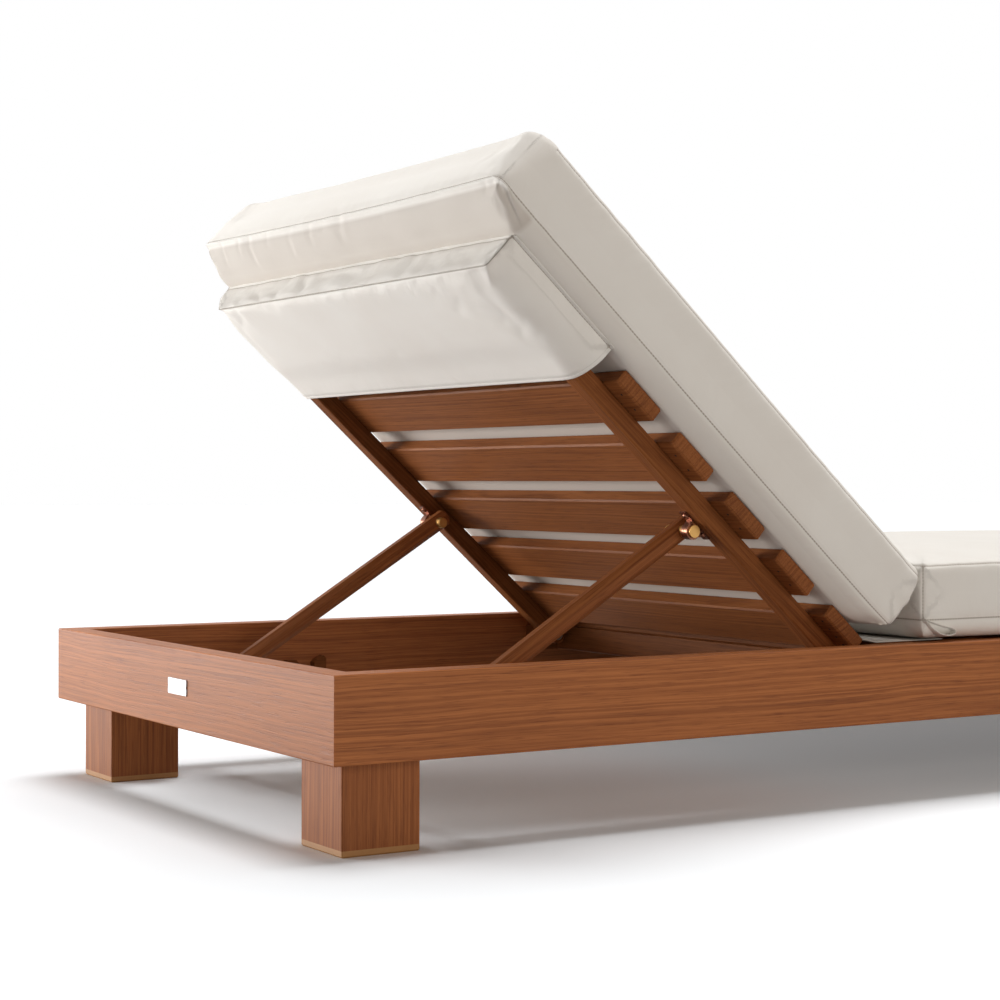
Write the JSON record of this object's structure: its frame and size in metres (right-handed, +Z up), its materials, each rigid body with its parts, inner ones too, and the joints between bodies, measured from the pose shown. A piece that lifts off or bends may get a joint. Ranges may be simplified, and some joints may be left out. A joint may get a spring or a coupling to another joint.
{
  "type": "sun lounger",
  "caption": "Timber sun lounger on block legs with a slatted back that reclines on a notched prop, and a hooded two-piece cushion.",
  "frame": {"origin": "on the floor under the middle of the frame", "axes": "+X from the head end to the foot end, +Z up, +Y to the left of someone lying on it"},
  "size_m": [2, 0.76, 0.7434],
  "materials": {
    "frame_timber": "oiled, satin",
    "slat_timber": "oiled, satin",
    "back_timber": "oiled, satin",
    "inner_timber": "oiled, satin",
    "pad": "matt",
    "pin_brass": "satin",
    "strap_bronze": "polished",
    "hinge_steel": "satin",
    "cushion_cloth": "woven, matt"
  },
  "bodies": {
    "frame": {"corner_block_foot_left": "inner_timber", "corner_block_foot_right": "inner_timber", "corner_block_head_left": "inner_timber", "corner_block_head_right": "inner_timber", "cross_rail_1": "inner_timber", "cross_rail_2": "inner_timber", "foot_pad_foot_left": "pad", "foot_pad_foot_right": "pad", "foot_pad_head_left": "pad", "foot_pad_head_right": "pad", "foot_rail": "frame_timber", "head_rail": "frame_timber", "hinge_cross_rail": "inner_timber", "hinge_pin_left": "hinge_steel", "hinge_pin_right": "hinge_steel", "hinge_washers": "hinge_steel", "ledger_left": "inner_timber", "ledger_right": "inner_timber", "leg_bolts": "hinge_steel", "leg_foot_left": "frame_timber", "leg_foot_right": "frame_timber", "leg_head_left": "frame_timber", "leg_head_right": "frame_timber", "rack_left": "inner_timber", "rack_right": "inner_timber", "seat_slat_01": "slat_timber", "seat_slat_02": "slat_timber", "seat_slat_03": "slat_timber", "seat_slat_04": "slat_timber", "seat_slat_05": "slat_timber", "seat_slat_06": "slat_timber", "seat_slat_07": "slat_timber", "seat_slat_08": "slat_timber", "seat_slat_09": "slat_timber", "seat_slat_10": "slat_timber", "seat_slat_11": "slat_timber", "seat_slat_12": "slat_timber", "side_rail_left": "frame_timber", "side_rail_right": "frame_timber"},
    "back": {"back_cushion": "cushion_cloth", "back_slat_1": "slat_timber", "back_slat_2": "slat_timber", "back_slat_3": "slat_timber", "back_slat_4": "slat_timber", "back_slat_5": "slat_timber", "back_slat_6": "slat_timber", "back_slat_7": "slat_timber", "back_stile_left": "back_timber", "back_stile_right": "back_timber", "hood": "cushion_cloth", "pivot_strap_left": "strap_bronze", "pivot_strap_right": "strap_bronze"},
    "prop": {"pivot_pin_left": "pin_brass", "pivot_pin_right": "pin_brass", "prop_bar": "back_timber", "strut_left": "back_timber", "strut_right": "back_timber"},
    "seat_pad": {"cushion_flap": "cushion_cloth", "seat_cushion": "cushion_cloth"}
  },
  "joints": [
    {"name": "back_recline", "type": "hinge", "parent": "frame", "child": "back", "pos_m": [-0.285, 0, 0.157], "axis": [0, 1, 0], "range_deg": [-41.7, 23.3], "deforming": ["cushion_flap"]},
    {"name": "prop_swing", "type": "hinge", "parent": "back", "child": "prop", "pos_m": [-0.49907, 0, 0.31961], "axis": [0, -1, 0], "range_deg": [-71.65, 40.06]},
    {"name": "seat_pad_slide", "type": "slide", "parent": "frame", "child": "seat_pad", "axis": [1, 0, 0], "range_m": [-0.06682, 0.03738]}
  ],
  "couplings": [
    {"joint": "prop_swing", "follows": "back_recline", "ratio": 1.7171},
    {"joint": "seat_pad_slide", "follows": "back_recline", "m_per_rad": 0.091673}
  ]
}
